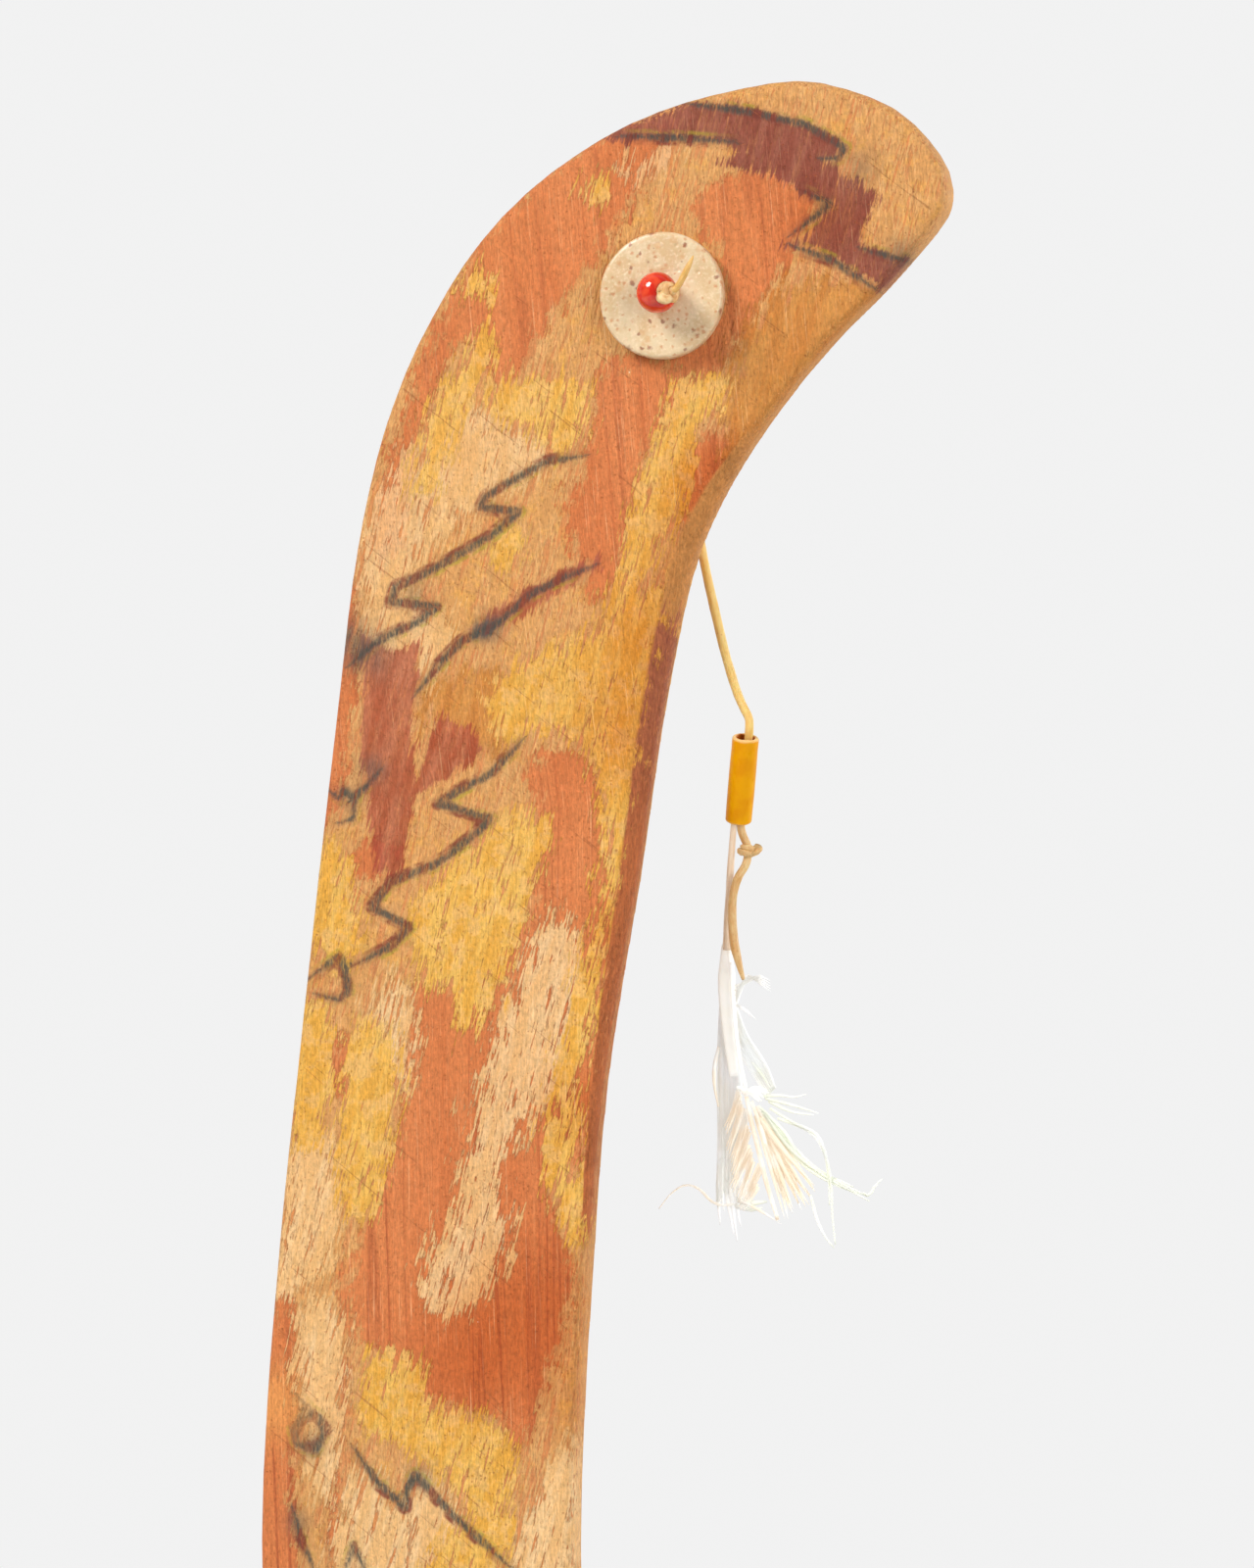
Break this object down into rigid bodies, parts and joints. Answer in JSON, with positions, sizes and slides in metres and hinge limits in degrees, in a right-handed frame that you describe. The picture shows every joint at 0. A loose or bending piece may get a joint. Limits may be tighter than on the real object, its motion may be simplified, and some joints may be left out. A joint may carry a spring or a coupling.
{
  "type": "throwing stick",
  "caption": "Flat curved wooden throwing stick with a painted face, a bone disk and glass bead tied on, and a feather pendant on a thong.",
  "frame": {"origin": "mid-thickness of the blade in the middle of the grip, halfway between the two tips", "axes": "+Z along the stick, up to the end that carries the disk; +X towards the hollow side of the curve; -Y is the painted face that carries the disk, +Y the back where the thong hangs"},
  "size_m": [0.1429, 0.0426, 0.5902],
  "materials": {
    "painted_wood": "hand-rubbed paint on carved wood, matt",
    "antler": "polished bone with dark pores",
    "red_glass": "glossy translucent red glass",
    "rawhide": "dry waxed rawhide thong",
    "amber_tube": "satin golden tube with worn rims",
    "quill": "translucent horny quill",
    "feather_vane": "soft white barbs",
    "feather_barb": "soft tan barbs"
  },
  "bodies": {
    "stick": {"blade": "painted_wood", "thong_front": "rawhide", "knot_front": "rawhide", "tail_front": "rawhide"},
    "disk": {"antler_disk": "antler"},
    "bead": {"red_bead": "red_glass"},
    "bend": {"thong_bend": "rawhide"},
    "run": {"thong_run": "rawhide"},
    "pendant": {"thong_lower": "rawhide", "knot_lower": "rawhide", "thong_tail": "rawhide"},
    "tube": {"tube_bead": "amber_tube", "feather_quill": "quill", "feather_sheath": "quill", "feather_shaft": "quill", "second_shaft": "quill", "vane_left": "feather_vane", "vane_right": "feather_vane", "barb_fan_left": "feather_barb", "barb_fan_right": "feather_barb"}
  },
  "joints": [
    {"name": "disk_spin", "type": "hinge", "parent": "stick", "child": "disk", "pos_m": [0.05, -0.007, 0.2525], "axis": [0, -1, 0], "continuous": true},
    {"name": "bead_spin", "type": "hinge", "parent": "stick", "child": "bead", "pos_m": [0.05251, -0.0128, 0.2525], "axis": [0.6428, -0.766, 0], "continuous": true},
    {"name": "thong_swing", "type": "hinge", "parent": "stick", "child": "bend", "pos_m": [0.05, 0.006, 0.2525], "axis": [0, -1, 0], "range_deg": [-35, 35]},
    {"name": "thong_lift", "type": "hinge", "parent": "bend", "child": "run", "pos_m": [0.05025, 0.0075, 0.25025], "axis": [1, 0, 0], "range_deg": [0, 35]},
    {"name": "pendant_turn", "type": "hinge", "parent": "run", "child": "pendant", "pos_m": [0.0666, 0.0083, 0.1665], "axis": [0.15, -0.3069, 0.9398], "range_deg": [-45, 45]},
    {"name": "tube_slide", "type": "slide", "parent": "pendant", "child": "tube", "axis": [0.15, -0.3069, 0.9398], "range_m": [-0.0015, 0.0015]}
  ]
}
